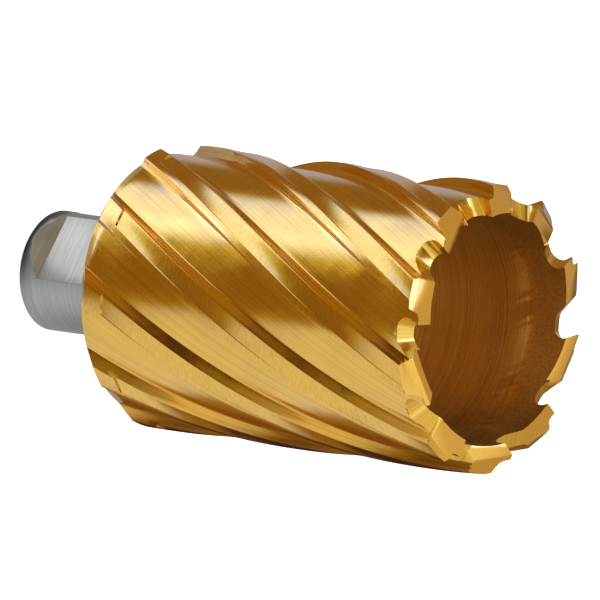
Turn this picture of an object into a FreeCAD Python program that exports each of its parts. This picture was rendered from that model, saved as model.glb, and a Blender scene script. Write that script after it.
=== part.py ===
"""Annular cutter: a hollow milling cutter turned, fluted and ground from one steel bar.

Millimetres. The tool's axis is +Z, the origin is the centre of the shank's end face,
and the teeth point up. The tool cuts when it turns towards +X to +Y.
"""
import FreeCAD, Part
import math
import os

# Shank
SHANK_DIAMETER = 19.05
SHANK_LENGTH = 22.0
SHANK_END_CHAMFER = 0.5
FLAT_FROM_AXIS = 7.5
FLAT_START = 4.0
FLAT_LENGTH = 12.0
FLAT_RAMP_DEGREES = 40.0
FLAT_DIRECTIONS_DEGREES = (-90.0, 180.0)

# Body
BODY_DIAMETER = 45.0
BODY_LENGTH = 66.3
SHOULDER_CHAMFER = 2.0
WALL_THICKNESS = 4.5

# Hollow inside
BORE_LAND_LENGTH = 8.4
BORE_RELIEF = 0.15
BORE_FLOOR_THICKNESS = 10.0
BORE_FLOOR_CHAMFER = 1.0
PILOT_DIAMETER = 6.4
PILOT_LENGTH = 21.0
PILOT_RELIEF = 0.4
PILOT_CHAMFER = 0.4

# Flutes and lands, with widths as angles round the axis
TOOTH_COUNT = 10
HELIX_LEAD = 249.0
FLUTE_DEPTH = 1.8
MARGIN_DEGREES = 3.5
LAND_DEGREES = 10.6
HEEL_SLOPE_DEGREES = 3.5
CUTTING_WALL_DEGREES = 0.3
FLUTE_FOOT_RADIUS = 0.6
LAND_RELIEF = 0.3
RELIEF_RUNOUT_LENGTH = 3.4

# Teeth, with the first one's angle and the land's lag behind it at the tips' height
TOOTH_START_DEGREES = 11.0
LAND_LAG_DEGREES = 3.2

# Gullets through the web between the teeth, measured at the bore's wall
GULLET_FACE_DROP = 0.4
GULLET_DEPTH = 2.8
GULLET_RADIUS = 1.7
GULLET_FLAT = 0.8
GULLET_RAKE_DEGREES = 30.0
GULLET_RAMP_DEGREES = 40.0
GULLET_FALL_DEGREES = 23.0
GULLET_FACE_SKEW_DEGREES = 5.7
GULLET_RAMP_SKEW_DEGREES = 10.8

# End grinds: every second tooth has a ridge, the others are plain with an outer bevel.
# Falls are measured outwards and clearances behind the cutting edge.
RIDGE_FROM_BORE = 1.9
RIDGE_OUTER_FALL_DEGREES = 28.8
RIDGE_OUTER_CLEARANCE_DEGREES = 14.8
RIDGE_INNER_FALL_DEGREES = -20.8
RIDGE_INNER_CLEARANCE_DEGREES = 9.6
PLAIN_DROP = 0.2
PLAIN_FALL_DEGREES = 5.7
PLAIN_CLEARANCE_DEGREES = 8.5
BEVEL_WIDTH = 0.65
BEVEL_DROP = 0.38
BEVEL_FALL_DEGREES = 26.6
BEVEL_CLEARANCE_DEGREES = 14.6

# Sizes that follow from those above
SHANK_RADIUS = SHANK_DIAMETER / 2
BODY_RADIUS = BODY_DIAMETER / 2
BORE_RADIUS = BODY_RADIUS - WALL_THICKNESS
FLOOR_RADIUS = BODY_RADIUS - FLUTE_DEPTH
RELIEF_RADIUS = BODY_RADIUS - LAND_RELIEF
RIDGE_RADIUS = BORE_RADIUS + RIDGE_FROM_BORE
BEVEL_RADIUS = BODY_RADIUS - BEVEL_WIDTH
SHOULDER_Z = SHANK_LENGTH
RIM_Z = SHOULDER_Z + SHOULDER_CHAMFER
TIP_Z = SHOULDER_Z + BODY_LENGTH
TOOTH_PITCH_DEGREES = 360.0 / TOOTH_COUNT
TWIST_DEGREES_PER_MM = 360.0 / HELIX_LEAD
OVERCUT = 2.0

Z_AXIS = FreeCAD.Vector(0, 0, 1)


def polar(radius, degrees, z=0.0):
    """Return the point at a radius and an angle round the tool's axis."""
    angle = math.radians(degrees)
    return FreeCAD.Vector(radius * math.cos(angle), radius * math.sin(angle), z)


def polyline_face(points):
    """Return the flat face inside a closed outline of straight edges."""
    return Part.Face(Part.makePolygon(points + points[:1]))


def turned_blank():
    """Return the turned bar: shank, shoulder and body, solid inside."""
    profile = [
        FreeCAD.Vector(0, 0, 0),
        FreeCAD.Vector(SHANK_RADIUS - SHANK_END_CHAMFER, 0, 0),
        FreeCAD.Vector(SHANK_RADIUS, 0, SHANK_END_CHAMFER),
        FreeCAD.Vector(SHANK_RADIUS, 0, SHOULDER_Z),
        FreeCAD.Vector(BODY_RADIUS - SHOULDER_CHAMFER, 0, SHOULDER_Z),
        FreeCAD.Vector(BODY_RADIUS, 0, RIM_Z),
        FreeCAD.Vector(BODY_RADIUS, 0, TIP_Z),
        FreeCAD.Vector(0, 0, TIP_Z),
    ]
    return polyline_face(profile).revolve(FreeCAD.Vector(0, 0, 0), Z_AXIS, 360)


def bored_space():
    """Return the hollow for the slug, its relief behind the mouth, and the pilot hole."""
    floor_z = SHOULDER_Z + BORE_FLOOR_THICKNESS
    land_z = TIP_Z - BORE_LAND_LENGTH
    relieved = BORE_RADIUS + BORE_RELIEF
    hollow = Part.makeCylinder(relieved, land_z - floor_z, FreeCAD.Vector(0, 0, floor_z))
    floor_edges = [e for e in hollow.Edges if circle_at(e, floor_z)]
    hollow = hollow.makeChamfer(BORE_FLOOR_CHAMFER, floor_edges)
    mouth = Part.makeCylinder(BORE_RADIUS, TIP_Z + OVERCUT - land_z, FreeCAD.Vector(0, 0, land_z))
    pilot_radius = PILOT_DIAMETER / 2
    pilot = Part.makeCylinder(pilot_radius, PILOT_LENGTH + OVERCUT)
    relief = Part.makeCylinder(
        pilot_radius + PILOT_RELIEF, floor_z + OVERCUT - PILOT_LENGTH,
        FreeCAD.Vector(0, 0, PILOT_LENGTH))
    chamfer = Part.makeCone(pilot_radius + PILOT_CHAMFER, pilot_radius, PILOT_CHAMFER)
    return hollow.fuse([mouth, pilot, relief, chamfer])


def circle_at(edge, z):
    """Say whether an edge is a circle at a height."""
    return isinstance(edge.Curve, Part.Circle) and abs(edge.Curve.Center.z - z) < 1e-6


def shank_flat(direction_degrees):
    """Return the metal milled off the shank for one clamping flat and its two ramps."""
    outside = SHANK_RADIUS + OVERCUT
    rise = outside - FLAT_FROM_AXIS
    ramp = rise / math.tan(math.radians(FLAT_RAMP_DEGREES))
    profile = polyline_face([
        FreeCAD.Vector(FLAT_FROM_AXIS, 0, FLAT_START),
        FreeCAD.Vector(FLAT_FROM_AXIS, 0, FLAT_START + FLAT_LENGTH),
        FreeCAD.Vector(outside, 0, FLAT_START + FLAT_LENGTH + ramp),
        FreeCAD.Vector(outside, 0, FLAT_START - ramp),
    ])
    profile.translate(FreeCAD.Vector(0, -SHANK_RADIUS, 0))
    tool = profile.extrude(FreeCAD.Vector(0, 2 * SHANK_RADIUS, 0))
    tool.rotate(FreeCAD.Vector(0, 0, 0), Z_AXIS, direction_degrees)
    return tool


def helical_tool(section, start_z, end_z):
    """Sweep a flat section up the axis while it turns with the flutes' helix.

    The section stands at its true angle at z = 0, so every tool is in step.
    """
    turn = TWIST_DEGREES_PER_MM * start_z
    section = section.copy()
    section.rotate(FreeCAD.Vector(0, 0, 0), Z_AXIS, turn)
    section.translate(FreeCAD.Vector(0, 0, start_z))
    height = end_z - start_z
    spine = Part.makeLine(FreeCAD.Vector(0, 0, start_z), FreeCAD.Vector(0, 0, end_z))
    guide = Part.makeHelix(HELIX_LEAD, height, BODY_RADIUS)
    guide.rotate(FreeCAD.Vector(0, 0, 0), Z_AXIS, turn)
    guide.translate(FreeCAD.Vector(0, 0, start_z))
    sweep = Part.BRepOffsetAPI.MakePipeShell(Part.Wire([spine]))
    sweep.setAuxiliarySpine(Part.Wire(guide.Edges), True, 0)
    sweep.add(section)
    sweep.build()
    sweep.makeSolid()
    return sweep.shape()


def flute_tool():
    """Return the metal milled out ahead of the cutting edge that stands at angle 0.

    It runs from the cutting wall, with its eased foot, over the flute's round floor
    to the sloping heel of the next land.
    """
    outside = BODY_RADIUS + OVERCUT
    buried = FLOOR_RADIUS - OVERCUT / 4
    heel = TOOTH_PITCH_DEGREES - LAND_DEGREES
    foot_turn = math.degrees(FLUTE_FOOT_RADIUS / FLOOR_RADIUS)
    foot_end = CUTTING_WALL_DEGREES + foot_turn
    foot_centre = polar(FLOOR_RADIUS + FLUTE_FOOT_RADIUS, foot_end)
    wall_foot = polar(FLOOR_RADIUS + FLUTE_FOOT_RADIUS, CUTTING_WALL_DEGREES)
    floor_foot = polar(FLOOR_RADIUS, foot_end)
    foot_middle = foot_centre + (wall_foot + floor_foot - foot_centre * 2).normalize() * FLUTE_FOOT_RADIUS
    heel_edge = polar(BODY_RADIUS, heel)
    heel_foot = polar(FLOOR_RADIUS, heel - HEEL_SLOPE_DEGREES)
    section = Part.makePolygon([
        beyond(wall_foot, polar(BODY_RADIUS, 0), OVERCUT),
        wall_foot,
        foot_middle,
        floor_foot,
        polar(buried, foot_end),
        beyond(heel_edge, heel_foot, OVERCUT / 4),
        beyond(heel_foot, heel_edge, OVERCUT),
        polar(outside * 1.1, heel / 2),
        beyond(wall_foot, polar(BODY_RADIUS, 0), OVERCUT),
    ])
    start_z = SHOULDER_Z - OVERCUT
    sweep = helical_tool(section, start_z, TIP_Z + OVERCUT)
    return sweep.cut(round_bar(FLOOR_RADIUS, start_z - OVERCUT))


def relief_tool():
    """Return the metal ground off a land behind the margin of the edge at angle 0."""
    outside = BODY_RADIUS + OVERCUT
    inside = RELIEF_RADIUS - OVERCUT / 4
    heel = -LAND_DEGREES - HEEL_SLOPE_DEGREES / 2
    section = Part.makePolygon([
        polar(outside, -MARGIN_DEGREES),
        polar(inside, -MARGIN_DEGREES),
        polar(inside, heel),
        polar(outside, heel),
        polar(outside, -MARGIN_DEGREES),
    ])
    start_z = RIM_Z + RELIEF_RUNOUT_LENGTH
    sweep = helical_tool(section, start_z, TIP_Z + OVERCUT)
    return sweep.cut(round_bar(RELIEF_RADIUS, start_z - OVERCUT))


def beyond(start, end, distance):
    """Return the point a distance past the end of a line."""
    return end + (end - start).normalize() * distance


def round_bar(radius, start_z):
    """Return a round bar on the tool's axis that reaches past the teeth."""
    return Part.makeCylinder(radius, TIP_Z + 2 * OVERCUT - start_z, FreeCAD.Vector(0, 0, start_z))


def round_the_ring(tool, offset_degrees):
    """Return one copy of a tool for each tooth, turned to the tooth's angle."""
    copies = []
    for tooth in range(TOOTH_COUNT):
        turned = tool.copy()
        angle = offset_degrees + tooth * TOOTH_PITCH_DEGREES
        turned.rotate(FreeCAD.Vector(0, 0, 0), Z_AXIS, angle)
        copies.append(turned)
    return copies


def land_phase_degrees():
    """Return the angle at z = 0 of the helix that the first land's cutting edge follows."""
    return TOOTH_START_DEGREES - LAND_LAG_DEGREES - TWIST_DEGREES_PER_MM * TIP_Z


def gullet_profile(x):
    """Return the gullet's outline in the plane at a distance x from the axis.

    The outline is a raked front face, a rounded bottom and a ramp up to the next heel,
    for a tooth at angle 0. Farther out it lies lower and its bottom is wider.
    """
    run = x - BORE_RADIUS
    rake = math.radians(GULLET_RAKE_DEGREES)
    ramp = math.radians(GULLET_RAMP_DEGREES)
    low = TIP_Z - GULLET_FACE_DROP - GULLET_DEPTH - run * math.tan(math.radians(GULLET_FALL_DEGREES))
    face_shift = -run * math.tan(math.radians(GULLET_FACE_SKEW_DEGREES))
    ramp_shift = run * math.tan(math.radians(GULLET_RAMP_SKEW_DEGREES))
    face_foot_t = face_shift - GULLET_DEPTH * math.tan(rake)
    front_t = face_foot_t + GULLET_RADIUS / math.tan(math.pi / 4 - rake / 2)
    back_t = front_t + GULLET_FLAT + ramp_shift - face_shift
    centre_z = low + GULLET_RADIUS

    def around(centre_t, degrees):
        angle = math.radians(degrees)
        return FreeCAD.Vector(x, centre_t + GULLET_RADIUS * math.cos(angle),
                              centre_z + GULLET_RADIUS * math.sin(angle))

    face_foot = around(front_t, 180 - GULLET_RAKE_DEGREES)
    ramp_foot = around(back_t, GULLET_RAMP_DEGREES - 90)
    top = TIP_Z + OVERCUT
    face_top = FreeCAD.Vector(x, face_foot.y + (top - face_foot.z) * math.tan(rake), top)
    ramp_top = FreeCAD.Vector(x, ramp_foot.y + (top - ramp_foot.z) / math.tan(ramp), top)
    front_mid = around(front_t, (450 - GULLET_RAKE_DEGREES) / 2)
    back_mid = around(back_t, GULLET_RAMP_DEGREES / 2 - 90)
    return Part.Wire([
        Part.makeLine(face_top, face_foot),
        Part.Arc(face_foot, front_mid, around(front_t, -90)).toShape(),
        Part.makeLine(around(front_t, -90), around(back_t, -90)),
        Part.Arc(around(back_t, -90), back_mid, ramp_foot).toShape(),
        Part.makeLine(ramp_foot, ramp_top),
        Part.makeLine(ramp_top, face_top),
    ])


def gullet_tool():
    """Return the metal cut out through the web in front of the tooth at angle 0."""
    inner = gullet_profile(BORE_RADIUS - OVERCUT * 0.75)
    outer = gullet_profile(BODY_RADIUS + OVERCUT)
    return Part.makeLoft([inner, outer], True, True)


def grinding_block(radius, drop, fall_degrees, clearance_degrees):
    """Return the metal above one end facet of the tooth at angle 0.

    The facet meets the cutting edge at a radius, a drop below the tips. It falls away
    outwards by the first angle and behind the edge by the clearance angle.
    """
    size = BODY_DIAMETER
    block = Part.makeBox(size, size, size, FreeCAD.Vector(-size / 2, -size / 2, 0))
    origin = FreeCAD.Vector(0, 0, 0)
    block.rotate(origin, FreeCAD.Vector(1, 0, 0), clearance_degrees)
    block.rotate(origin, FreeCAD.Vector(0, 1, 0), fall_degrees)
    block.translate(FreeCAD.Vector(radius, 0, TIP_Z - drop))
    return block


def tooth_sector():
    """Return the wedge of space round the tooth at angle 0, from gullet to gullet."""
    bottom_t = GULLET_RADIUS / math.tan(math.pi / 4 - math.radians(GULLET_RAKE_DEGREES) / 2)
    bottom_t += GULLET_FLAT - GULLET_DEPTH * math.tan(math.radians(GULLET_RAKE_DEGREES))
    bottom_t += GULLET_RADIUS * math.sin(math.radians(GULLET_RAMP_DEGREES) / 2)
    ahead = math.degrees(bottom_t / BORE_RADIUS)
    behind = ahead - TOOTH_PITCH_DEGREES
    reach = 1.5 * BODY_RADIUS
    face = polyline_face([
        FreeCAD.Vector(0, 0, 0),
        polar(reach, behind),
        polar(reach, (ahead + behind) / 2),
        polar(reach, ahead),
    ])
    face.translate(FreeCAD.Vector(0, 0, TIP_Z - 3 * GULLET_DEPTH))
    return face.extrude(Z_AXIS * 6 * GULLET_DEPTH)


def end_grinds():
    """Return the tools that grind every tooth's two end facets, in alternating patterns."""
    ridged = [
        grinding_block(RIDGE_RADIUS, 0, RIDGE_OUTER_FALL_DEGREES, RIDGE_OUTER_CLEARANCE_DEGREES),
        grinding_block(RIDGE_RADIUS, 0, RIDGE_INNER_FALL_DEGREES, RIDGE_INNER_CLEARANCE_DEGREES),
    ]
    plain = [
        grinding_block(BORE_RADIUS, PLAIN_DROP, PLAIN_FALL_DEGREES, PLAIN_CLEARANCE_DEGREES),
        grinding_block(BEVEL_RADIUS, BEVEL_DROP, BEVEL_FALL_DEGREES, BEVEL_CLEARANCE_DEGREES),
    ]
    sector = tooth_sector()
    tools = []
    for tooth in range(TOOTH_COUNT):
        for block in ridged if tooth % 2 else plain:
            tool = block.common(sector)
            angle = TOOTH_START_DEGREES + tooth * TOOTH_PITCH_DEGREES
            tool.rotate(FreeCAD.Vector(0, 0, 0), Z_AXIS, angle)
            tools.append(tool)
    return tools


def annular_cutter():
    """Turn, bore, mill and grind the cutter and return its one solid."""
    cutter = turned_blank().cut(bored_space())
    cutter = cutter.cut([shank_flat(direction) for direction in FLAT_DIRECTIONS_DEGREES])
    cutter = cutter.cut(round_the_ring(flute_tool(), land_phase_degrees()))
    cutter = cutter.cut(round_the_ring(relief_tool(), land_phase_degrees()))
    gullets = round_the_ring(gullet_tool(), TOOTH_START_DEGREES)
    cutter = cutter.cut(gullets)
    for tool in end_grinds():
        cutter = cutter.cut(tool)
    return cutter.removeSplitter()


def main():
    """Build the cutter and write its solid."""
    os.makedirs("parts", exist_ok=True)
    cutter = annular_cutter()
    print("solids", len(cutter.Solids), "valid", cutter.isValid(), "faces", len(cutter.Faces))
    cutter.Solids[0].exportStep("parts/annular_cutter.step")


main()
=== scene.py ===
"""Dresses the annular cutter: a coated, fluted and end-ground body on a bare steel shank.

Sizes are millimetres and degrees in the classes below, and metres in Blender. The frame is
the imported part's own: the tool's axis is +Z and the shank's end face is at z = 0.
"""
import logging
import math
from collections.abc import Callable, Sequence
from dataclasses import dataclass, field
from enum import Enum

import bmesh
import bpy
from bpy.types import Material, Node, NodeSocket, NodeTree, Object
from mathutils import Matrix, Vector


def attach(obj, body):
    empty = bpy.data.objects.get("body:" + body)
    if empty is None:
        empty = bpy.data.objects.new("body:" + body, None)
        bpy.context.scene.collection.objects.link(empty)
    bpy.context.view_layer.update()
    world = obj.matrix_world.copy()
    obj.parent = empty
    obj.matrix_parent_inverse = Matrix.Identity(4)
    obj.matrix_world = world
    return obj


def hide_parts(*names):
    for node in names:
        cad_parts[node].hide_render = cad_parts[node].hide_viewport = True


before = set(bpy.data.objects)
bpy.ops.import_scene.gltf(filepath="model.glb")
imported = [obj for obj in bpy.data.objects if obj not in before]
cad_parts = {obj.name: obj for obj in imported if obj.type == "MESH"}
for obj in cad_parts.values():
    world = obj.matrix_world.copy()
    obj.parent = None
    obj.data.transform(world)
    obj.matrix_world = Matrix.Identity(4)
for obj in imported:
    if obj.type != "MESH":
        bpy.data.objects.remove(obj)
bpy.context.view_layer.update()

LOG = logging.getLogger("annular_cutter")
MM = 0.001
MERGE = 1e-6
NODE = "annular_cutter"
TEETH = 10
PITCH = 360.0 / TEETH
LEAD = 249.0
TIP_Z = 88.3
BORE_RADIUS = 18.0
Triple = tuple[float, float, float]
Colour = Triple
Greys = tuple[tuple[float, float], ...]
Feed = float | Sequence[float] | NodeSocket


class Zone(Enum):
    """The kinds of surface on the cutter, each with its own finish."""

    FLUTE = 0
    LAND = 1
    FACET = 2
    GULLET = 3
    BORE_MOUTH = 4
    BORE_DEEP = 5
    SHOULDER = 6
    SHANK = 7
    FLAT = 8


@dataclass(frozen=True)
class Helix:
    """The flutes' helix and the tooth pattern round the axis."""

    teeth: int = TEETH
    lead: float = LEAD
    first_tooth: float = 11.0
    land_lag: float = 3.2
    tip_z: float = TIP_Z

    @property
    def pitch(self) -> float:
        """Angle from tooth to tooth, in degrees."""
        return 360.0 / self.teeth

    def turn(self, z: float) -> float:
        """Return the angle in degrees of the first land's cutting edge at a height."""
        return self.first_tooth - self.land_lag + 360.0 / self.lead * (z - self.tip_z)


@dataclass(frozen=True)
class Corner:
    """A corner of an outline, with the radius that rounds it."""

    along: float
    height: float
    radius: float
    steps: int
    zone: Zone


@dataclass(frozen=True)
class SectionPoint:
    """One point of the cross section: an angle ahead of the cutting edge and a radius."""

    degrees: float
    radius: float
    zone: Zone


@dataclass(frozen=True)
class FluteSection:
    """The body's cross section over one pitch, from one cutting edge to the next."""

    body_radius: float = 22.5
    floor_radius: float = 20.7
    relief_radius: float = 22.2
    mean_radius: float = 21.6
    pitch: float = PITCH
    land: float = 10.6
    heel_slope: float = 3.5
    margin: float = 3.5
    margin_step: float = 0.05
    least_step: float = 0.002
    margin_run: float = 0.35
    wall_lean: float = 0.3
    foot_fillet: float = 0.6
    heel_fillet: float = 0.35
    edge_round: float = 0.1
    margin_round: float = 0.7
    floor_steps: int = 12
    land_steps: int = 8
    wall_steps: int = 2
    floor_span: int = 1
    land_span: int = 3
    margin_span: int = 4

    def corners(self, relieved: bool) -> list[Corner]:
        """Return the outline's corners over one pitch.

        Args:
            relieved: Whether the land is ground back behind the margin.

        Returns:
            Corners with angles in degrees and radii in millimetres.
        """
        heel = self.pitch - self.land
        land_radius = self.relief_radius if relieved else self.body_radius
        rise = (land_radius - self.floor_radius) / (self.body_radius - self.floor_radius)
        heel_top = heel - self.heel_slope * (1.0 - rise)
        step = self.pitch - self.margin
        step_radius = self.body_radius - (self.margin_step if relieved else self.least_step)
        edge = self.edge_round
        fine = edge * self.margin_round
        return [
            Corner(0.0, self.body_radius, edge, 4, Zone.FLUTE),
            Corner(self.wall_lean, self.floor_radius, self.foot_fillet, 5, Zone.FLUTE),
            Corner(heel - self.heel_slope, self.floor_radius, self.heel_fillet, 3, Zone.FLUTE),
            Corner(heel_top, land_radius, edge, 3, Zone.LAND),
            Corner(step, step_radius, fine, 2, Zone.LAND),
            Corner(step + self.margin_run, self.body_radius, fine, 2, Zone.LAND),
            Corner(self.pitch, self.body_radius, edge, 4, Zone.FLUTE),
        ]

    def points(self, relieved: bool) -> list[SectionPoint]:
        """Return the outline's points from the middle of one edge's rounding to the next.

        Args:
            relieved: Whether the land is ground back behind the margin.

        Returns:
            The points in order of rising angle. The last repeats the first, one pitch on.
        """
        unrolled = self.mean_radius * math.pi / 180.0
        corners = self.corners(relieved)
        flat = [Vector((c.along * unrolled, c.height)) for c in corners]
        full = self.pitch * unrolled
        before = Vector((flat[-2].x - full, flat[-2].y))
        after = Vector((flat[1].x + full, flat[1].y))
        path = [before] + flat + [after]
        counts = {self.floor_span: self.floor_steps, self.land_span: self.land_steps,
                  self.margin_span: 1}
        result: list[tuple[Vector, Zone]] = []
        for index, corner in enumerate(corners):
            arc = self._rounded(path[index], path[index + 1], path[index + 2], corner)
            if index == 0:
                arc = arc[len(arc) // 2:]
            if index == len(corners) - 1:
                arc = arc[:len(arc) // 2 + 1]
            if result:
                span = index - 1
                steps = counts.get(span, self.wall_steps)
                start = result[-1][0]
                for step in range(1, steps):
                    share = step / steps
                    point = start.lerp(arc[0], share)
                    if span == self.land_span:
                        point.y = start.y + (arc[0].y - start.y) * share * share
                    result.append((point, corners[span].zone))
            result.extend((point, corner.zone) for point in arc)
        return [SectionPoint(p.x / unrolled, p.y, zone) for p, zone in result]

    @staticmethod
    def _rounded(before: Vector, at: Vector, after: Vector, corner: Corner) -> list[Vector]:
        """Return the points of the arc that rounds one corner.

        Args:
            before: The outline's point before the corner.
            at: The corner's own point.
            after: The outline's point after it.
            corner: The corner, with its radius and steps.

        Returns:
            Points from the arc's start to its end.
        """
        back = (before - at).normalized()
        ahead = (after - at).normalized()
        half = back.angle(ahead) / 2.0
        reach = corner.radius / math.tan(half)
        centre = at + (back + ahead).normalized() * corner.radius / math.sin(half)
        start = at + back * reach - centre
        end = at + ahead * reach - centre
        sweep = start.angle_signed(end)
        points = []
        for step in range(corner.steps + 1):
            angle = -sweep * step / corner.steps
            cos, sin = math.cos(angle), math.sin(angle)
            points.append(centre + Vector((start.x * cos - start.y * sin,
                                           start.x * sin + start.y * cos)))
        return points


@dataclass(frozen=True)
class TurnedRow:
    """One ring of the turned surfaces, with the zone of the band that follows it."""

    radius: float
    z: float
    zone: Zone


@dataclass
class CutterBar:
    """The fluted bar with its bore and shank, before its end is ground."""

    helix: Helix = field(default_factory=Helix)
    section: FluteSection = field(default_factory=FluteSection)
    shank_radius: float = 9.525
    shoulder_z: float = 22.0
    shoulder_chamfer: float = 2.0
    shank_chamfer: float = 0.5
    bore_radius: float = BORE_RADIUS
    bore_relief: float = 0.15
    bore_land: float = 8.4
    mouth_step: float = 2.0
    deep_step: float = 4.0
    bore_floor_z: float = 32.0
    bore_floor_chamfer: float = 1.0
    pilot_radius: float = 3.2
    pilot_relief: float = 0.4
    pilot_length: float = 21.0
    pilot_chamfer: float = 0.4
    pilot_step: float = 0.2
    corner_run: float = 0.1
    corner_cut: float = 0.04
    root_run: float = 0.4
    root_rise: float = 0.12
    rim_cut: float = 0.08
    shank_rings: tuple[float, float] = (3.0, 12.0)
    body_rings: tuple[float, float] = (25.0, 26.2)
    relief_start: float = 27.4
    relief_run: float = 0.3
    row_height: float = 0.75
    overcut: float = 1.0

    @property
    def relieved_z(self) -> float:
        """Height from which the lands are fully relieved, in millimetres."""
        return self.relief_start + self.relief_run

    def below(self) -> list[TurnedRow]:
        """Return the rings from the pilot hole's mouth out and up to the shoulder.

        Returns:
            The rings in order, in millimetres.
        """
        shank, chamfer, shoulder = self.shank_radius, self.shank_chamfer, self.shoulder_z
        rim = self.section.body_radius - self.shoulder_chamfer
        run, cut, root = self.corner_run, self.corner_cut, self.root_run
        bare = [
            (self.pilot_radius + self.pilot_chamfer, 0.0), (shank - chamfer - run, 0.0),
            (shank - chamfer + cut, cut), (shank - cut, chamfer - cut), (shank, chamfer + run),
            *((shank, z) for z in self.shank_rings), (shank, shoulder - root)]
        coated = [
            (shank + run, shoulder - self.root_rise), (shank + root, shoulder),
            (rim - self.root_rise, shoulder), (rim + self.rim_cut, shoulder + self.rim_cut)]
        return ([TurnedRow(radius, z, Zone.SHANK) for radius, z in bare]
                + [TurnedRow(radius, z, Zone.SHOULDER) for radius, z in coated])

    def inside(self) -> list[TurnedRow]:
        """Return the rings from the bore's mouth down to the pilot hole's mouth.

        Returns:
            The rings in order, in millimetres.
        """
        land_z = self.helix.tip_z - self.bore_land
        relieved = self.bore_radius + self.bore_relief
        pilot, wide = self.pilot_radius, self.pilot_radius + self.pilot_relief
        floor, chamfer = self.bore_floor_z, self.bore_floor_chamfer
        top = self.helix.tip_z + self.overcut
        mouth = self._heights(top, land_z, self.mouth_step)
        deep = self._heights(land_z - self.bore_relief, floor + chamfer, self.deep_step)
        wall = [(relieved, z) for z in deep]
        wall += [(relieved - chamfer, floor), (wide, floor), (wide, self.pilot_length)]
        hole = [(pilot, self.pilot_length - self.pilot_step), (pilot, self.pilot_chamfer)]
        return ([TurnedRow(self.bore_radius, z, Zone.BORE_MOUTH) for z in mouth]
                + [TurnedRow(radius, z, Zone.BORE_DEEP) for radius, z in wall]
                + [TurnedRow(radius, z, Zone.SHANK) for radius, z in hole])

    @staticmethod
    def _heights(start: float, end: float, step: float) -> list[float]:
        """Return evenly spaced heights from start to end, both included."""
        count = max(1, round(abs(end - start) / step))
        return [start + (end - start) * index / count for index in range(count + 1)]

    def cone_z(self, radius: float) -> float:
        """Return the height where the shoulder's chamfer reaches a radius."""
        return self.shoulder_z + radius - self.section.body_radius + self.shoulder_chamfer

    def build_pitch(self) -> Object:
        """Build one pitch of the bar as an open strip.

        Returns:
            An object whose faces carry their zone in the attribute "zone".
        """
        plain = self.section.points(False)
        relieved = self.section.points(True)
        top = self.helix.tip_z + self.overcut
        rim_z = self.shoulder_z + self.shoulder_chamfer
        shoulder_turn = self.helix.turn(self.shoulder_z)
        top_turn = self.helix.turn(top)
        rows: list[list[Vector]] = []
        zones: list[list[Zone]] = []

        def turned(row: TurnedRow, turn: float) -> None:
            """Add one ring of the turned surfaces, turned by an angle."""
            rows.append([self._point(row.radius, p.degrees + turn, row.z) for p in plain])
            zones.append([row.zone] * len(plain))

        for row in self.below():
            turned(row, shoulder_turn)
        rows.append([self._helical(p, self.cone_z(p.radius)) for p in plain])
        zones.append([p.zone for p in plain])
        lower = (rim_z + self.corner_run, *self.body_rings, self.relief_start)
        upper = self._heights(self.relieved_z, top, self.row_height)
        for z, points in [(z, plain) for z in lower] + [(z, relieved) for z in upper]:
            rows.append([self._helical(p, z) for p in points])
            zones.append([p.zone for p in points])
        zones[-1] = [Zone.FACET] * len(plain)
        inner = self.inside()
        span = inner[0].z - self.bore_floor_z
        for row in inner:
            share = min(1.0, max(0.0, (row.z - self.bore_floor_z) / span))
            turned(row, shoulder_turn + (top_turn - shoulder_turn) * share)
        return self._strip(rows, zones)

    def _point(self, radius: float, degrees: float, z: float) -> Vector:
        """Return a point in metres from a radius, an angle and a height."""
        angle = math.radians(degrees)
        return Vector((radius * math.cos(angle), radius * math.sin(angle), z)) * MM

    def _helical(self, point: SectionPoint, z: float) -> Vector:
        """Return a section's point, turned with the helix to a height."""
        return self._point(point.radius, point.degrees + self.helix.turn(z), z)

    @staticmethod
    def _strip(rows: list[list[Vector]], zones: list[list[Zone]]) -> Object:
        """Join rows of points, the last to the first again, into a strip of quads.

        Args:
            rows: The points of each row, in metres.
            zones: The zone of each quad, at its first point.

        Returns:
            The strip's object.
        """
        build = bmesh.new()
        layer = build.faces.layers.int.new("zone")
        verts = [[build.verts.new(p) for p in row] for row in rows]
        for index, row in enumerate(verts):
            following = verts[(index + 1) % len(verts)]
            for column in range(len(row) - 1):
                face = build.faces.new((row[column], row[column + 1],
                                        following[column + 1], following[column]))
                face[layer] = zones[index][column].value
        return as_object(build, "pitch")


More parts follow.
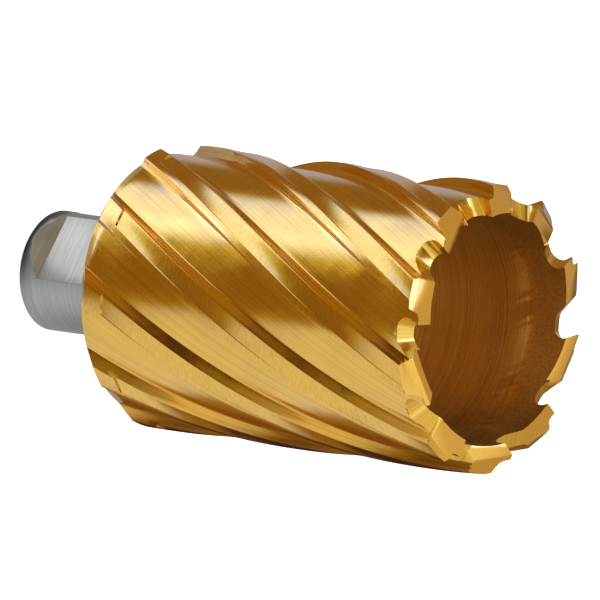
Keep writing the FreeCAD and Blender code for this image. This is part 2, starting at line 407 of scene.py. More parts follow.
@dataclass(frozen=True)
class Gullet:
    """The notch ground through the web in front of a tooth."""

    bore_radius: float = BORE_RADIUS
    tip_z: float = TIP_Z
    face_drop: float = 0.4
    depth: float = 2.8
    radius: float = 1.7
    flat: float = 0.8
    rake: float = 30.0
    ramp: float = 40.0
    fall: float = 23.0
    face_skew: float = 5.7
    ramp_skew: float = 10.8
    arc_steps: int = 10
    above: float = 2.5
    inset: float = 1.5
    outside: float = 25.0

    def profile(self, x: float, top: float) -> list[Vector]:
        """Return the notch's outline at a distance from the axis.

        Args:
            x: Distance from the tool's axis, in millimetres.
            top: Height where the outline ends, above the tips.

        Returns:
            Points in metres, from the face's top round the bottom to the ramp's top.
        """
        run = x - self.bore_radius
        rake, ramp = math.radians(self.rake), math.radians(self.ramp)
        low = self.tip_z - self.face_drop - self.depth - run * math.tan(math.radians(self.fall))
        face_shift = -run * math.tan(math.radians(self.face_skew))
        ramp_shift = run * math.tan(math.radians(self.ramp_skew))
        foot = face_shift - self.depth * math.tan(rake)
        front = foot + self.radius / math.tan(math.pi / 4 - rake / 2)
        back = front + self.flat + ramp_shift - face_shift
        centre = low + self.radius
        points = self._arc(front, centre, 180.0 - self.rake, 270.0)
        points += self._arc(back, centre, 270.0, 270.0 + self.ramp)
        start, end = points[0], points[-1]
        face_top = (start[0] + (top - start[1]) * math.tan(rake), top)
        ramp_top = (end[0] + (top - end[1]) / math.tan(ramp), top)
        return [Vector((x, y, z)) * MM for y, z in [face_top] + points + [ramp_top]]

    def _arc(self, centre_y: float, centre_z: float, start: float,
             end: float) -> list[tuple[float, float]]:
        """Return the points on the bottom's rounding between two angles.

        Args:
            centre_y: The arc's centre ahead of the tooth, in millimetres.
            centre_z: The arc's centre above the shank's end.
            start: The first point's angle, in degrees.
            end: The last point's angle.

        Returns:
            Pairs of a distance ahead and a height.
        """
        angles = [math.radians(start + (end - start) * step / self.arc_steps)
                  for step in range(self.arc_steps + 1)]
        return [(centre_y + self.radius * math.cos(a), centre_z + self.radius * math.sin(a))
                for a in angles]

    def bottom_end(self) -> float:
        """Return how far ahead of the tooth the bottom's second rounding is half done.

        Returns:
            The distance at the bore's wall, in millimetres.
        """
        rake = math.radians(self.rake)
        return (self.radius / math.tan(math.pi / 4 - rake / 2) + self.flat
                - self.depth * math.tan(rake)
                + self.radius * math.sin(math.radians(self.ramp) / 2))

    def build(self) -> Object:
        """Build the metal that the notch removes, for the tooth at angle 0.

        Returns:
            The closed solid.
        """
        top = self.tip_z + self.above
        inner = self.profile(self.bore_radius - self.inset, top)
        outer = self.profile(self.outside, top)
        return solid_between("gullet", inner, outer, Zone.GULLET)


@dataclass(frozen=True)
class Grind:
    """One ground end facet, given where it meets the cutting edge."""

    radius: float
    drop: float
    fall: float
    clearance: float

    def height(self, x: float, y: float, tip_z: float) -> float:
        """Return the facet's height at a place in the tooth's own frame.

        Args:
            x: Distance outwards from the axis, in millimetres.
            y: Distance ahead of the cutting edge.
            tip_z: Height of the tips.

        Returns:
            The height above the shank's end.
        """
        normal = Matrix.Rotation(math.radians(self.fall), 3, "Y") @ Matrix.Rotation(
            math.radians(self.clearance), 3, "X") @ Vector((0, 0, 1))
        return tip_z - self.drop - (normal.x * (x - self.radius) + normal.y * y) / normal.z


@dataclass(frozen=True)
class EndGrind:
    """The two facets of one tooth, which meet in a ridge."""

    name: str
    outer: Grind
    inner: Grind
    gullet: Gullet = field(default_factory=Gullet)
    pitch: float = PITCH
    reach: float = 32.0
    hub: float = 8.0
    above: float = 6.0
    inset: float = 0.02
    level: float = 1e-4

    def build(self) -> Object:
        """Build the metal above the facets, for the tooth at angle 0.

        Returns:
            The closed solid.
        """
        tip_z = self.gullet.tip_z
        ahead = math.degrees(self.gullet.bottom_end() / self.gullet.bore_radius)
        behind = ahead - self.pitch
        angles = [math.radians(a) for a in (behind + self.inset, (ahead + behind) / 2, ahead)]
        fan = [Vector((self.hub * math.cos(angles[1]), self.hub * math.sin(angles[1])))]
        fan += [Vector((self.reach * math.cos(a), self.reach * math.sin(a))) for a in angles]

        def lower(p: Vector) -> float:
            """Return how far the inner facet lies below the outer one at a point."""
            return self.outer.height(p.x, p.y, tip_z) - self.inner.height(p.x, p.y, tip_z)

        build = bmesh.new()
        roofs = []
        for keep, grind in ((1.0, self.inner), (-1.0, self.outer)):
            kept = self._clip(fan, lambda p: keep * lower(p))
            roofs.append([Vector((p.x, p.y, grind.height(p.x, p.y, tip_z))) for p in kept])
        top = tip_z + self.above
        for roof in roofs:
            build.faces.new([build.verts.new(p * MM) for p in reversed(roof)])
            build.faces.new([build.verts.new(Vector((p.x, p.y, top)) * MM) for p in roof])
            for index, point in enumerate(roof):
                following = roof[(index + 1) % len(roof)]
                middle = (point + following) / 2
                if abs(lower(middle)) < self.level and abs(lower(point)) < self.level:
                    continue
                corners = (point, following, Vector((following.x, following.y, top)),
                           Vector((point.x, point.y, top)))
                build.faces.new([build.verts.new(p * MM) for p in corners])
        bmesh.ops.remove_doubles(build, verts=build.verts, dist=MERGE)
        return finished_tool(build, self.name, Zone.FACET)

    @staticmethod
    def _clip(outline: list[Vector], side: Callable[[Vector], float]) -> list[Vector]:
        """Return the part of an outline where side is positive.

        Args:
            outline: The outline's points.
            side: A function of a point that is positive on the kept side.

        Returns:
            The kept part's points.
        """
        kept = []
        for index, point in enumerate(outline):
            following = outline[(index + 1) % len(outline)]
            here, there = side(point), side(following)
            if here >= 0:
                kept.append(point)
            if here * there < 0:
                kept.append(point.lerp(following, here / (here - there)))
        return kept


@dataclass(frozen=True)
class ClampingFlat:
    """A flat milled on the shank with a ramp at each end."""

    from_axis: float = 7.5
    start: float = 4.0
    length: float = 12.0
    ramp: float = 40.0
    outside: float = 11.5
    half_width: float = 12.0
    directions: tuple[float, ...] = (-90.0, 180.0)

    def build(self) -> list[Object]:
        """Build the metal that each flat removes.

        Returns:
            A closed solid for each flat.
        """
        run = (self.outside - self.from_axis) / math.tan(math.radians(self.ramp))
        end = self.start + self.length
        outline = [(self.from_axis, self.start), (self.from_axis, end),
                   (self.outside, end + run), (self.outside, self.start - run)]
        tools = []
        for direction in self.directions:
            near = [Vector((x, -self.half_width, z)) * MM for x, z in outline]
            far = [Vector((x, self.half_width, z)) * MM for x, z in outline]
            tool = solid_between("shank_flat", near, far, Zone.FLAT)
            tool.data.transform(Matrix.Rotation(math.radians(direction), 4, "Z"))
            tools.append(tool)
        return tools


def solid_between(name: str, near: list[Vector], far: list[Vector], zone: Zone) -> Object:
    """Build the closed solid between two outlines with matching points.

    Args:
        name: The object's name.
        near: The first outline.
        far: The second outline.
        zone: The zone of every face.

    Returns:
        The object, with its faces turned outwards.
    """
    build = bmesh.new()
    first = [build.verts.new(p) for p in near]
    second = [build.verts.new(p) for p in far]
    build.faces.new(first)
    build.faces.new(list(reversed(second)))
    for index in range(len(first)):
        following = (index + 1) % len(first)
        build.faces.new((first[following], first[index], second[index], second[following]))
    return finished_tool(build, name, zone)


def finished_tool(build: bmesh.types.BMesh, name: str, zone: Zone) -> Object:
    """Turn a mesh's faces outwards, mark their zone and return its object.

    Args:
        build: The mesh, which is freed here.
        name: The object's name.
        zone: The zone of every face.

    Returns:
        The object.
    """
    bmesh.ops.recalc_face_normals(build, faces=build.faces)
    layer = build.faces.layers.int.new("zone")
    for face in build.faces:
        face[layer] = zone.value
    return as_object(build, name)


def as_object(build: bmesh.types.BMesh, name: str) -> Object:
    """Make an object of a mesh under construction, which is freed.

    Args:
        build: The mesh.
        name: The name of the object and of its mesh.

    Returns:
        The object, not yet in the scene.
    """
    mesh = bpy.data.meshes.new(name)
    build.to_mesh(mesh)
    build.free()
    return bpy.data.objects.new(name, mesh)


class NodeBoard:
    """A small helper that adds and links the nodes of one tree."""

    def __init__(self, tree: NodeTree) -> None:
        """Keep the tree and clear it."""
        self.tree = tree
        tree.nodes.clear()

    def add(self, kind: str, inputs: dict | None = None, **settings: str) -> Node:
        """Add a node, set its properties and feed its inputs.

        Args:
            kind: The node's type.
            inputs: Input names or indices with a value or an output socket each.
            settings: Properties of the node.

        Returns:
            The node.
        """
        node = self.tree.nodes.new(kind)
        for name, value in settings.items():
            setattr(node, name, value)
        for name, value in (inputs or {}).items():
            if isinstance(value, NodeSocket):
                self.tree.links.new(value, node.inputs[name])
            else:
                node.inputs[name].default_value = value
        return node

    def maths(self, operation: str, *values: Feed) -> NodeSocket:
        """Add a maths node and return its output."""
        return self.add("ShaderNodeMath", dict(enumerate(values)), operation=operation).outputs[0]

    def vector(self, operation: str, *values: Feed) -> NodeSocket:
        """Add a vector maths node and return its vector output."""
        return self.add("ShaderNodeVectorMath", dict(enumerate(values)),
                        operation=operation).outputs[0]

    def ramp(self, factor: NodeSocket, stops: Sequence[tuple[float, Colour]]) -> NodeSocket:
        """Add a smooth colour ramp and return its colour output.

        Args:
            factor: The value that is looked up, as an output socket.
            stops: Places from 0 to 1, with a colour each.

        Returns:
            The colour, as an output socket.
        """
        node = self.add("ShaderNodeValToRGB", {"Fac": factor})
        ramp = node.color_ramp
        ramp.interpolation = "B_SPLINE"
        while len(ramp.elements) < len(stops):
            ramp.elements.new(1.0)
        for element, (place, colour) in zip(ramp.elements, stops):
            element.position = place
            element.color = (*colour, 1.0)
        return node.outputs["Color"]

    def grey_ramp(self, factor: NodeSocket, stops: Greys) -> NodeSocket:
        """Add a smooth ramp of greys and return its colour output."""
        return self.ramp(factor, [(place, (grey, grey, grey)) for place, grey in stops])


class RingPattern:
    """A Geometry Nodes group that repeats a piece round the axis and sets its finishes."""

    def __init__(self, finishes: dict[Zone, Material]) -> None:
        """Build the nodes: the turned copies, their merging and their finishes.

        Args:
            finishes: The material of each zone.
        """
        self.tree = bpy.data.node_groups.new("ring_pattern", "GeometryNodeTree")
        self.inputs: dict[str, str] = {}
        board = NodeBoard(self.tree)
        for name, kind in (("Piece", "Geometry"), ("Count", "Int"), ("First angle", "Float"),
                           ("Step angle", "Float"), ("Merge distance", "Float")):
            item = self.tree.interface.new_socket(name, in_out="INPUT",
                                                  socket_type="NodeSocket" + kind)
            self.inputs[name] = item.identifier
        self.tree.interface.new_socket("Ring", in_out="OUTPUT", socket_type="NodeSocketGeometry")
        source = board.add("NodeGroupInput").outputs
        line = board.add("GeometryNodeMeshLine", {
            "Count": source["Count"], "Offset": (0.0, 0.0, 0.0)}).outputs[0]
        index = board.add("GeometryNodeInputIndex").outputs[0]
        angle = board.maths("MULTIPLY_ADD", index, source["Step angle"], source["First angle"])
        turn = board.add("ShaderNodeCombineXYZ", {"Z": angle}).outputs[0]
        rotation = board.add("FunctionNodeEulerToRotation", {0: turn}).outputs[0]
        copies = board.add("GeometryNodeInstanceOnPoints", {
            "Points": line, "Instance": source["Piece"], "Rotation": rotation}).outputs[0]
        real = board.add("GeometryNodeRealizeInstances", {0: copies}).outputs[0]
        ring = board.add("GeometryNodeMergeByDistance", {
            "Geometry": real, "Distance": source["Merge distance"]}).outputs[0]
        zone = board.add("GeometryNodeInputNamedAttribute", {"Name": "zone"},
                         data_type="INT").outputs["Attribute"]
        # A comparison of whole numbers reads inputs 2 and 3.
        for kind, material in finishes.items():
            match = board.add("FunctionNodeCompare", {2: zone, 3: kind.value},
                              data_type="INT", operation="EQUAL").outputs[0]
            ring = board.add("GeometryNodeSetMaterial", {
                "Geometry": ring, "Selection": match, "Material": material}).outputs[0]
        board.add("NodeGroupOutput", {0: ring})

    def repeat(self, piece: Object, count: int, first: float, step: float) -> Object:
        """Repeat a piece round the axis.

        Args:
            piece: The piece for one pitch.
            count: How many copies to make.
            first: The first copy's angle, in degrees.
            step: The angle between copies, in degrees.

        Returns:
            One object with a plain mesh of all the copies.
        """
        bpy.context.scene.collection.objects.link(piece)
        modifier = piece.modifiers.new("ring", "NODES")
        modifier.node_group = self.tree
        modifier[self.inputs["Count"]] = count
        modifier[self.inputs["First angle"]] = math.radians(first)
        modifier[self.inputs["Step angle"]] = math.radians(step)
        modifier[self.inputs["Merge distance"]] = MERGE
        return baked(piece)


def baked(piece: Object) -> Object:
    """Turn a piece's modifiers into its plain mesh.

    Args:
        piece: An object in the scene.

    Returns:
        The same object, with no modifiers.
    """
    bpy.context.view_layer.update()
    graph = bpy.context.evaluated_depsgraph_get()
    mesh = bpy.data.meshes.new_from_object(piece.evaluated_get(graph))
    old = piece.data
    piece.modifiers.clear()
    piece.data = mesh
    mesh.name = piece.name
    bpy.data.meshes.remove(old)
    return piece


def cut_away(piece: Object, tool: Object) -> None:
    """Cut a tool's space out of a piece and remove the tool.

    Args:
        piece: The piece that is cut.
        tool: The closed solid that is taken away.
    """
    modifier = piece.modifiers.new("cut", "BOOLEAN")
    modifier.operation = "DIFFERENCE"
    modifier.solver = "EXACT"
    modifier.material_mode = "TRANSFER"
    modifier.object = tool
    baked(piece)
    bpy.data.objects.remove(tool)


@dataclass
class AnnularCutter:
    """The whole cutter as one dressed piece."""

    bar: CutterBar = field(default_factory=CutterBar)
    gullet: Gullet = field(default_factory=Gullet)
    flats: ClampingFlat = field(default_factory=ClampingFlat)
    ridged: EndGrind = field(default_factory=lambda: EndGrind(
        "ridged_grind", Grind(19.9, 0.0, 28.8, 14.8), Grind(19.9, 0.0, -20.8, 9.6)))
    plain: EndGrind = field(default_factory=lambda: EndGrind(
        "plain_grind", Grind(21.85, 0.38, 26.6, 14.6), Grind(18.0, 0.2, 5.7, 8.5)))
    edge_round: float = 0.06
    short_edge: float = 0.45
    weld: float = 0.01
    land_from: float = 22.1
    level: float = 0.01
    sharp_angle: float = 28.0

    def build(self, finishes: dict[Zone, Material]) -> Object:
        """Build the cutter's mesh and dress it.

        Args:
            finishes: The material of each zone.

        Returns:
            The finished piece.
        """
        pattern = RingPattern(finishes)
        helix = self.bar.helix
        body = pattern.repeat(self.bar.build_pitch(), helix.teeth, 0.0, helix.pitch)
        body.name = "cutter_body"
        for tool in self.flats.build():
            cut_away(body, pattern.repeat(tool, 1, 0.0, 0.0))
        gullets = pattern.repeat(self.gullet.build(), helix.teeth, helix.first_tooth, helix.pitch)
        cut_away(body, gullets)
        pairs = helix.teeth // 2
        for offset, grind in enumerate((self.plain, self.ridged)):
            first = helix.first_tooth + offset * helix.pitch
            cut_away(body, pattern.repeat(grind.build(), pairs, first, 2 * helix.pitch))
        self._soften(body)
        self._keep_inside(body)
        self._crease(body)
        self._drop_empty_slots(body)
        return body

    def _soften(self, body: Object) -> None:
        """Take the sharpness off the longer ground edges.

        Args:
            body: The cutter's body.
        """
        build = bmesh.new()
        build.from_mesh(body.data)
        bmesh.ops.remove_doubles(build, verts=build.verts, dist=self.weld * MM)
        weight = build.edges.layers.float.new("bevel_weight_edge")
        for edge in build.edges:
            turned = edge.calc_face_angle(0.0) > math.radians(self.sharp_angle)
            edge[weight] = float(turned and edge.calc_length() > self.short_edge * MM)
        build.to_mesh(body.data)
        build.free()
        body.data.shade_smooth()
        bevel = body.modifiers.new("edges", "BEVEL")
        bevel.width = self.edge_round * MM
        bevel.segments = 1
        bevel.limit_method = "WEIGHT"
        bevel.use_clamp_overlap = False
        baked(body)

    def _keep_inside(self, body: Object) -> None:
        """Hold the points that the bevel pushed out within the bar's own size.

        Args:
            body: The cutter's body.
        """
        reach = self.bar.section.body_radius * MM
        for vertex in body.data.vertices:
            vertex.co.z = min(vertex.co.z, self.bar.helix.tip_z * MM)
            out = vertex.co.xy.length
            if out > reach:
                vertex.co.xy = vertex.co.xy * (reach / out)

    def _crease(self, body: Object) -> None:
        """Shade the body smooth between its edges and keep the relief's start crisp.

        Args:
            body: The cutter's body.
        """
        body.data.shade_smooth()
        body.data.set_sharp_from_angle(angle=math.radians(self.sharp_angle))
        starts = (self.bar.relief_start * MM, self.bar.relieved_z * MM)
        places = body.data.vertices
        for edge in body.data.edges:
            ends = [places[index].co for index in edge.vertices]
            level = any(all(abs(end.z - start) < self.level * MM for end in ends)
                        for start in starts)
            if level and min(end.xy.length for end in ends) > self.land_from * MM:
                edge.use_edge_sharp = True

    @staticmethod
    def _drop_empty_slots(body: Object) -> None:
        """Remove the material slots that hold nothing.

        Args:
            body: The cutter's body.
        """
        for index in reversed(range(len(body.data.materials))):
            if body.data.materials[index] is None:
                body.data.materials.pop(index=index)


class Grain(Enum):
    """The directions that machining marks run in."""

    HELIX = "along the flutes"
    RINGS = "round the axis"
    SPOKES = "out from the axis"
    ACROSS = "straight across the lands"
    CLOUDED = "in no direction"


@dataclass(frozen=True)
class Marks:
    """Fine machining marks: their direction, how many to a metre and how deep."""

    grain: Grain
    per_metre: float
    depth: float
    contrast: float = 0.12
    stretch: float = 0.04
    lead: float = LEAD
    spoke_radius: float = 22.0
    land_stretch: float = 0.18
    detail: float = 4.0
    fineness: float = 0.65

    def build(self, board: NodeBoard, place: NodeSocket) -> NodeSocket:
        """Add the marks' nodes.

        Args:
            board: The finish's nodes.
            place: The point's own coordinates, as an output socket.

        Returns:
            The marks' height from 0 to 1, as an output socket.
        """
        if self.grain in (Grain.HELIX, Grain.ACROSS):
            height = board.add("ShaderNodeSeparateXYZ", {0: place}).outputs["Z"]
            turn = board.maths("MULTIPLY", height, -2.0 * math.pi / (self.lead * MM))
            place = board.add("ShaderNodeVectorRotate", {"Vector": place, "Angle": turn},
                              rotation_type="Z_AXIS").outputs[0]
        if self.grain is Grain.SPOKES:
            level = board.vector("MULTIPLY", place, (1.0, 1.0, 0.0))
            outwards = board.vector("NORMALIZE", level)
            place = board.vector("MULTIPLY", outwards, (self.spoke_radius * MM,) * 3)
        scales = {
            Grain.HELIX: (1.0, 1.0, self.stretch),
            Grain.RINGS: (self.stretch, self.stretch, 1.0),
            Grain.ACROSS: (self.land_stretch, self.land_stretch, 1.0),
        }
        stretched = board.vector("MULTIPLY", place, scales.get(self.grain, (1.0, 1.0, 1.0)))
        return board.add("ShaderNodeTexNoise", {
            "Vector": stretched, "Scale": self.per_metre, "Detail": self.detail,
            "Roughness": self.fineness}).outputs["Fac"]


@dataclass(frozen=True)
class MetalFinish:
    """A metal surface with machining marks and soft cloudy patches."""

    name: str
    colour: Colour
    roughness: float
    marks: Marks
    coat: float = 1.0
    coat_ior: float = 1.95
    coat_roughness: float = 0.10
    patch_scale: float = 140.0
    patch_detail: float = 3.0
    patch_spread: float = 0.06
    wave_depth: float = 0.004
    noise_low: float = 0.35
    noise_high: float = 0.65

    def build(self) -> Material:
        """Build the finish as a node material.

        Returns:
            The material.
        """
        material = bpy.data.materials.new(self.name)
        material.use_nodes = True
        board = NodeBoard(material.node_tree)
        place = board.add("ShaderNodeTexCoord").outputs["Object"]
        marks = self.marks.build(board, place)
        patches = board.add("ShaderNodeTexNoise", {
            "Vector": place, "Scale": self.patch_scale, "Detail": self.patch_detail,
        }).outputs["Fac"]
        shade = self._spread(board, marks, 1.0, self.marks.contrast)
        tint = board.add("ShaderNodeVectorMath", {0: self.colour, "Scale": shade},
                         operation="SCALE")
        colour = board.vector("MINIMUM", tint.outputs[0], (1.0, 1.0, 1.0))
        rough = self._spread(board, patches, self.roughness, self.patch_spread)
        waves = board.add("ShaderNodeBump", {"Height": patches, "Strength": 1.0,
                                             "Distance": self.wave_depth * MM})
        bump = board.add("ShaderNodeBump", {"Height": marks, "Strength": 1.0,
                                            "Distance": self.marks.depth * MM,
                                            "Normal": waves.outputs[0]})
        shader = board.add("ShaderNodeBsdfPrincipled", {
            "Base Color": colour, "Metallic": 1.0, "Roughness": rough,
            "Coat Weight": self.coat, "Coat IOR": self.coat_ior,
            "Coat Roughness": self.coat_roughness,
            "Normal": bump.outputs[0], "Coat Normal": bump.outputs[0]})
        board.add("ShaderNodeOutputMaterial", {"Surface": shader.outputs[0]})
        return material

    def _spread(self, board: NodeBoard, noise: NodeSocket, middle: float,
                spread: float) -> NodeSocket:
        """Map a noise to a value that varies evenly about a middle.

        Args:
            board: The finish's nodes.
            noise: The noise, as an output socket.
            middle: The value at the noise's middle.
            spread: How far the value goes to each side of it.

        Returns:
            The value, as an output socket.
        """
        return board.add("ShaderNodeMapRange", {
            "Value": noise, "From Min": self.noise_low, "From Max": self.noise_high,
            "To Min": middle - spread, "To Max": middle + spread}).outputs[0]


def cutter_finishes() -> dict[Zone, Material]:
    """Return the material of each zone of the cutter.

    Returns:
        The materials, by zone.
    """
    gold = (0.95, 0.52, 0.015)
    # The gullets' paler gold is a painted highlight: a lighter copy of the coat's gold that
    # brightens their reflections.
    painted_highlight_gold = (1.0, 0.64, 0.07)
    brown = (0.98, 0.65, 0.23)
    steel = (0.46, 0.46, 0.45)
    pale_steel = (0.55, 0.55, 0.54)
    flute = Marks(Grain.HELIX, 3300.0, 0.003, 0.17, 0.006)
    ground = Marks(Grain.ACROSS, 4200.0, 0.0016, 0.14)
    facet = Marks(Grain.CLOUDED, 3600.0, 0.0005, 0.06)
    spokes = Marks(Grain.SPOKES, 2600.0, 0.003, 0.16)
    turned = Marks(Grain.RINGS, 3000.0, 0.003, 0.26, 0.004)
    honed = Marks(Grain.CLOUDED, 2600.0, 0.002, 0.22)
    lathe = Marks(Grain.RINGS, 2800.0, 0.001, 0.10, 0.01)
    milled = Marks(Grain.RINGS, 2600.0, 0.002, 0.12)
    finishes = {
        Zone.FLUTE: MetalFinish("gold_flute", gold, 0.22, flute),
        Zone.LAND: MetalFinish("gold_land", gold, 0.22, ground),
        Zone.FACET: MetalFinish("gold_facet", gold, 0.18, facet),
        # The gullets take the paler gold, a painted highlight.
        Zone.GULLET: MetalFinish("gold_gullet_painted_highlight", painted_highlight_gold, 0.26, spokes, 0.7),
        Zone.BORE_MOUTH: MetalFinish("gold_bore_mouth", brown, 0.40, honed),
        Zone.BORE_DEEP: MetalFinish("gold_bore_deep", brown, 0.42, turned),
        Zone.SHOULDER: MetalFinish("gold_shoulder", gold, 0.24, facet),
        Zone.SHANK: MetalFinish("steel_shank", steel, 0.18, lathe, 0.0),
        Zone.FLAT: MetalFinish("steel_flat", pale_steel, 0.28, milled, 0.0),
    }
    return {zone: finish.build() for zone, finish in finishes.items()}


@dataclass(frozen=True)
class SoftPanel:
    """A far soft panel, lit or dark, that only the metal's reflections show.

    Its place is an azimuth from the camera's side and an elevation. Its half width, half
    height and roll are degrees too, and core is the share of it that has its full light.
    """

    azimuth: float
    elevation: float
    wide: float
    high: float
    roll: float
    core: float
    light: Colour
    depth: float = 0.9

    def add_to(self, board: NodeBoard, ray: NodeSocket, colour: NodeSocket,
               facing: float) -> NodeSocket:
        """Lay the panel over a colour.

        Args:
            board: The world's nodes.
            ray: The direction that is looked up, as an output socket.
            colour: The colour so far.
            facing: The azimuth that the panel's own azimuth is counted from.

        Returns:
            The colour with the panel, as an output socket.
        """
        around, up = math.radians(self.azimuth + facing), math.radians(self.elevation)
        aim = Vector((math.cos(around) * math.cos(up), math.sin(around) * math.cos(up),
                      math.sin(up)))
        level = Vector((-math.sin(around), math.cos(around), 0.0))
        turn = Matrix.Rotation(math.radians(self.roll), 3, aim)
        side, rise = turn @ level, turn @ aim.cross(level)
        angles = Matrix((side, rise, aim)).transposed().to_euler()
        half = (*(math.sin(math.radians(a)) for a in (self.wide, self.high)), self.depth)
        spot = board.add("ShaderNodeMapping", {"Vector": ray, "Location": aim, "Rotation": angles,
                                               "Scale": half}, vector_type="TEXTURE")
        far = board.add("ShaderNodeVectorMath", {0: spot.outputs[0]}, operation="LENGTH")
        share = board.add("ShaderNodeMapRange", {
            "Value": far.outputs["Value"], "From Min": 1.0, "From Max": self.core},
            interpolation_type="SMOOTHSTEP").outputs[0]
        # A mix of colours has its factor at input 0 and its two colours at 6 and 7.
        return board.add("ShaderNodeMix", {0: share, 6: colour, 7: (*self.light, 1.0)},
                         data_type="RGBA").outputs[2]


@dataclass(frozen=True)
class Studio:
    """The floor, the card for the shank's reflections, the soft light and the camera.

    The camera's place is in metres. The card's greys run round it from its side away from
    the camera, and the surround's colours run from straight down to straight up.
    """

    location: Triple = (0.56910, -1.09323, 0.99387)
    right: Triple = (-0.39818, 0.47230, 0.78638)
    up: Triple = (-0.84081, -0.53065, -0.10702)
    back: Triple = (0.36675, -0.70381, 0.60840)
    lens: float = 600.0
    sensor: float = 36.0
    clip_end: float = 10.0
    facing: float = -62.5
    floor_half: float = 3000.0
    floor_grain: float = 40.0
    floor_greys: Greys = ((0.2, 0.93), (0.8, 0.95))
    floor_roughness: float = 0.9
    floor_gloss: float = 0.1
    floor_glow: float = 0.86
    card_radius: float = 40.0
    card_drop: float = 0.5
    card_reach: float = 37.0
    card_greys: Greys = (
        (0.0, 0.30), (0.15, 0.27), (0.19, 0.26), (0.25, 0.11), (0.40, 0.06), (0.485, 0.04),
        (0.535, 0.34), (0.59, 0.62), (0.66, 0.62), (0.72, 0.42), (0.79, 0.38), (1.0, 0.30))
    strip_greys: Greys = ((0.30, 0.0), (0.325, 2.4), (0.40, 2.4), (0.425, 0.0))
    strip_from: float = 10.5
    strip_full: float = 13.0
    surround: tuple[tuple[float, Colour], ...] = (
        (0.0, (0.29, 0.16, 0.03)), (0.15, (0.27, 0.15, 0.03)), (0.33, (0.24, 0.14, 0.03)),
        (0.53, (0.15, 0.08, 0.03)), (0.59, (0.58, 0.48, 0.32)), (0.75, (0.46, 0.34, 0.13)),
        (0.93, (0.64, 0.56, 0.42)), (1.0, (1.0, 1.0, 1.0)))
    panels: tuple[SoftPanel, ...] = (
        SoftPanel(-88.0, -12.0, 56.0, 14.0, 0.0, 0.6, (0.36, 0.19, 0.02)),
        SoftPanel(-34.0, 0.0, 46.0, 13.0, 0.0, 0.75, (0.07, 0.022, 0.010)),
        SoftPanel(-26.0, 18.0, 28.0, 8.0, 0.0, 0.7, (0.95, 0.88, 0.68)),
        SoftPanel(54.5, -36.0, 51.0, 18.0, -12.0, 0.75, (0.74, 0.76, 0.76)),
        SoftPanel(26.0, -1.0, 27.0, 18.0, -38.0, 0.75, (0.78, 0.72, 0.55)),
        SoftPanel(46.0, 16.0, 30.0, 12.0, -12.0, 0.8, (0.09, 0.028, 0.01)),
        SoftPanel(154.0, -33.0, 30.0, 13.0, 0.0, 0.7, (0.045, 0.018, 0.015)),
        SoftPanel(122.0, -64.0, 34.0, 22.0, 0.0, 0.6, (0.80, 0.50, 0.03)),
        SoftPanel(-160.0, -30.0, 34.0, 15.0, 0.0, 0.6, (0.44, 0.39, 0.40)),
        SoftPanel(-58.0, -26.0, 30.0, 10.0, 0.0, 0.75, (1.12, 1.36, 2.1)),
        SoftPanel(-68.0, -43.0, 25.0, 13.0, -8.0, 0.65, (1.12, 1.38, 2.3)),
        SoftPanel(-42.0, -52.0, 22.0, 11.0, -30.0, 0.7, (1.8, 2.2, 4.4)),
        SoftPanel(-100.0, 60.0, 29.0, 11.0, 0.0, 0.8, (1.8, 2.1, 4.2)),
        SoftPanel(50.0, 33.0, 34.0, 10.0, 0.0, 0.6, (0.12, 0.06, 0.03)),
        SoftPanel(-66.0, 58.0, 18.0, 9.0, 0.0, 0.7, (2.0, 1.8, 1.6)),
        SoftPanel(-54.0, 31.0, 18.0, 9.0, 0.0, 0.6, (0.13, 0.13, 0.13)),
    )

    def build_camera(self) -> None:
        """Build the camera at the photograph's place and angle."""
        data = bpy.data.cameras.new("camera")
        data.lens = self.lens
        data.sensor_width = self.sensor
        data.clip_end = self.clip_end
        camera = bpy.data.objects.new("camera", data)
        columns = Matrix((self.right, self.up, self.back)).transposed().to_4x4()
        camera.matrix_world = Matrix.Translation(self.location) @ columns
        bpy.context.scene.collection.objects.link(camera)
        bpy.context.scene.camera = camera

    @staticmethod
    def _placed(build: bmesh.types.BMesh, name: str, finish: str) -> tuple[Object, NodeBoard]:
        """Put a mesh in the scene with an empty node material.

        Args:
            build: The mesh, which is freed here.
            name: The object's name.
            finish: The material's name.

        Returns:
            The object, and the board of its material's nodes.
        """
        item = as_object(build, name)
        bpy.context.scene.collection.objects.link(item)
        material = bpy.data.materials.new(finish)
        material.use_nodes = True
        item.data.materials.append(material)
        return item, NodeBoard(material.node_tree)

    def build_floor(self) -> None:
        """Build the pale floor that the cutter stands on and that no metal mirrors."""
        build = bmesh.new()
        bmesh.ops.create_grid(build, x_segments=8, y_segments=8, size=self.floor_half * MM)
        floor, board = self._placed(build, "floor", "pale_floor")
        place = board.add("ShaderNodeTexCoord").outputs["Object"]
        grain = board.add("ShaderNodeTexNoise", {
            "Vector": place, "Scale": self.floor_grain}).outputs["Fac"]
        shader = board.add("ShaderNodeBsdfPrincipled", {
            "Base Color": board.grey_ramp(grain, self.floor_greys),
            "Roughness": self.floor_roughness, "Specular IOR Level": self.floor_gloss,
            "Emission Color": (1.0, 1.0, 1.0, 1.0), "Emission Strength": self.floor_glow})
        board.add("ShaderNodeOutputMaterial", {"Surface": shader.outputs[0]})
        floor.visible_glossy = False

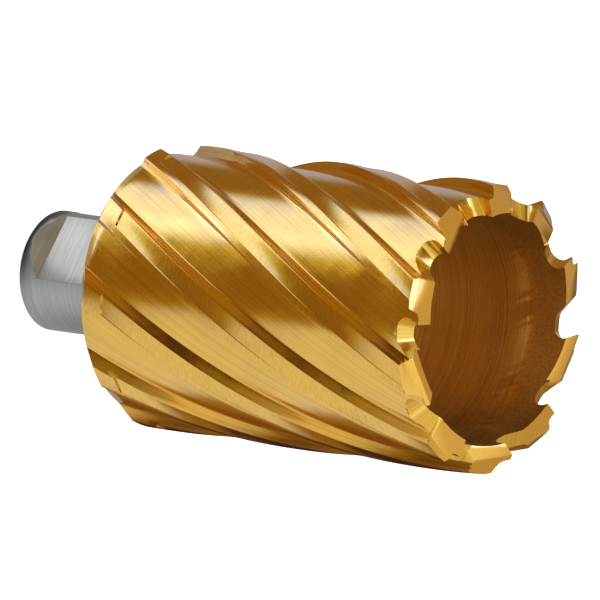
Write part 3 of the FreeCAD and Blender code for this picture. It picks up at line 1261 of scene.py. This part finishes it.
    def build_card(self) -> None:
        """Build the card below the floor that only the shank mirrors.

        It is clear to any ray longer than its reach.
        """
        build = bmesh.new()
        bmesh.ops.create_circle(build, cap_ends=True, segments=48, radius=self.card_radius * MM)
        card, board = self._placed(build, "card", "grey_card")
        card.location.z = -self.card_drop * MM
        place = board.add("ShaderNodeTexCoord").outputs["Object"]
        parts = board.add("ShaderNodeSeparateXYZ", {0: place}).outputs
        around = board.maths("ARCTAN2", parts["Y"], parts["X"])
        turns = board.maths("MULTIPLY_ADD", around, 0.5 / math.pi, 1.5 - self.facing / 360.0)
        share = board.maths("FRACT", turns)
        soft = board.grey_ramp(share, self.card_greys)
        strip = board.grey_ramp(share, self.strip_greys)
        out = board.add("ShaderNodeVectorMath", {0: place}, operation="LENGTH").outputs["Value"]
        beyond = board.add("ShaderNodeMapRange", {
            "Value": out, "From Min": self.strip_from * MM, "From Max": self.strip_full * MM},
            interpolation_type="SMOOTHSTEP").outputs[0]
        light = board.maths("MULTIPLY_ADD", strip, beyond, soft)
        glow = board.add("ShaderNodeEmission", {"Color": light}).outputs[0]
        length = board.add("ShaderNodeLightPath").outputs["Ray Length"]
        near = board.maths("LESS_THAN", length, self.card_reach * MM)
        clear = board.add("ShaderNodeBsdfTransparent").outputs[0]
        choice = board.add("ShaderNodeMixShader", {0: near, 1: clear, 2: glow})
        board.add("ShaderNodeOutputMaterial", {"Surface": choice.outputs[0]})

    def build_world(self) -> None:
        """Build the soft light all round, with paler and darker sides."""
        world = bpy.data.worlds.new("studio")
        bpy.context.scene.world = world
        world.use_nodes = True
        board = NodeBoard(world.node_tree)
        place = board.add("ShaderNodeTexCoord").outputs["Generated"]
        ray = board.vector("NORMALIZE", place)
        height = board.add("ShaderNodeSeparateXYZ", {0: ray}).outputs["Z"]
        colour = board.ramp(board.maths("MULTIPLY_ADD", height, 0.5, 0.5), self.surround)
        for panel in self.panels:
            colour = panel.add_to(board, ray, colour, self.facing)
        glint = board.add("ShaderNodeBackground", {"Color": colour}).outputs[0]
        white = board.add("ShaderNodeBackground", {"Color": (1.0, 1.0, 1.0, 1.0)}).outputs[0]
        path = board.add("ShaderNodeLightPath").outputs["Is Camera Ray"]
        choice = board.add("ShaderNodeMixShader", {0: path, 1: glint, 2: white})
        board.add("ShaderNodeOutputWorld", {"Surface": choice.outputs[0]})

    def build(self) -> None:
        """Build the whole studio."""
        self.build_camera()
        self.build_floor()
        self.build_card()
        self.build_world()
        bpy.context.scene.view_settings.view_transform = "Standard"


def main() -> None:
    """Build the studio and the cutter, in that order."""
    logging.basicConfig(level=logging.INFO, format="%(message)s")
    Studio().build()
    body = AnnularCutter().build(cutter_finishes())
    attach(body, "root")
    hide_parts(NODE)
    LOG.info("%s: %d faces", body.name, len(body.data.polygons))


if __name__ == "__main__":
    main()
